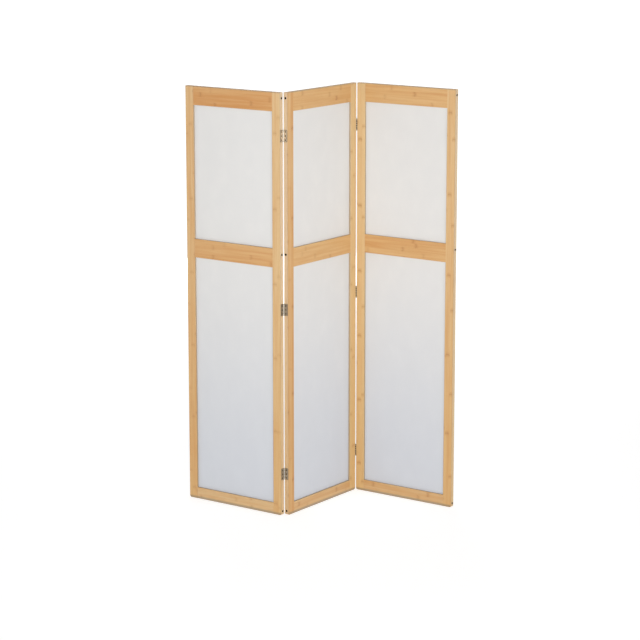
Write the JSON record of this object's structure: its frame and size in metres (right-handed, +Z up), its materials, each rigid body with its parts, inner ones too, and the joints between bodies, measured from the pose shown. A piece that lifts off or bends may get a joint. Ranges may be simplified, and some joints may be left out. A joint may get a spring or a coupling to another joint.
{
  "type": "folding screen",
  "caption": "Free-standing folding screen: bamboo-framed panels with white inserts, joined by butt hinges so that they fold flat both ways.",
  "frame": {"origin": "on the floor under the middle of the centre panel, which is the middle of the footprint", "axes": "+Z up; +X to the right along the screen and +Y to the back, as seen from the front; at rest every panel stands at 45 degrees to X, the left and right ones parallel"},
  "size_m": [1.1022, 0.3662, 1.8],
  "materials": {
    "bamboo_stile": "satin clear lacquer on laminated bamboo, grain along the stile",
    "bamboo_rail": "satin clear lacquer on laminated bamboo, grain along the rail",
    "white_insert": "matt white",
    "dowel_wood": "plain hardwood",
    "black_screw": "black oxide",
    "hinge_steel": "nickel-plated steel, satin",
    "pin_steel": "nickel-plated steel, satin",
    "screw_steel": "dull zinc"
  },
  "bodies": {
    "centre_panel": {"centre_left_stile": "bamboo_stile", "centre_right_stile": "bamboo_stile", "centre_top_rail": "bamboo_rail", "centre_mid_rail": "bamboo_rail", "centre_bottom_rail": "bamboo_rail", "centre_upper_insert": "white_insert", "centre_lower_insert": "white_insert", "centre_frame_screws": "black_screw", "centre_dowels": "dowel_wood", "left_top_hinge_centre_leaf": "hinge_steel", "left_mid_hinge_centre_leaf": "hinge_steel", "left_bottom_hinge_centre_leaf": "hinge_steel", "right_top_hinge_centre_leaf": "hinge_steel", "right_mid_hinge_centre_leaf": "hinge_steel", "right_bottom_hinge_centre_leaf": "hinge_steel", "centre_left_hinge_screws": "screw_steel", "centre_right_hinge_screws": "screw_steel"},
    "left_panel": {"left_outer_stile": "bamboo_stile", "left_hinge_stile": "bamboo_stile", "left_top_rail": "bamboo_rail", "left_mid_rail": "bamboo_rail", "left_bottom_rail": "bamboo_rail", "left_upper_insert": "white_insert", "left_lower_insert": "white_insert", "left_frame_screws": "black_screw", "left_dowels": "dowel_wood", "left_top_hinge_outer_leaf": "hinge_steel", "left_top_hinge_pin": "pin_steel", "left_mid_hinge_outer_leaf": "hinge_steel", "left_mid_hinge_pin": "pin_steel", "left_bottom_hinge_outer_leaf": "hinge_steel", "left_bottom_hinge_pin": "pin_steel", "left_hinge_screws": "screw_steel"},
    "right_panel": {"right_hinge_stile": "bamboo_stile", "right_outer_stile": "bamboo_stile", "right_top_rail": "bamboo_rail", "right_mid_rail": "bamboo_rail", "right_bottom_rail": "bamboo_rail", "right_upper_insert": "white_insert", "right_lower_insert": "white_insert", "right_frame_screws": "black_screw", "right_dowels": "dowel_wood", "right_top_hinge_outer_leaf": "hinge_steel", "right_top_hinge_pin": "pin_steel", "right_mid_hinge_outer_leaf": "hinge_steel", "right_mid_hinge_pin": "pin_steel", "right_bottom_hinge_outer_leaf": "hinge_steel", "right_bottom_hinge_pin": "pin_steel", "right_hinge_screws": "screw_steel"}
  },
  "joints": [
    {"name": "fold_left", "type": "hinge", "parent": "centre_panel", "child": "left_panel", "pos_m": [-0.18434, -0.16907, 0], "axis": [0, 0, 1], "range_deg": [-90, 90]},
    {"name": "fold_right", "type": "hinge", "parent": "centre_panel", "child": "right_panel", "pos_m": [0.18434, 0.16907, 0], "axis": [0, 0, 1], "range_deg": [-90, 90]}
  ]
}
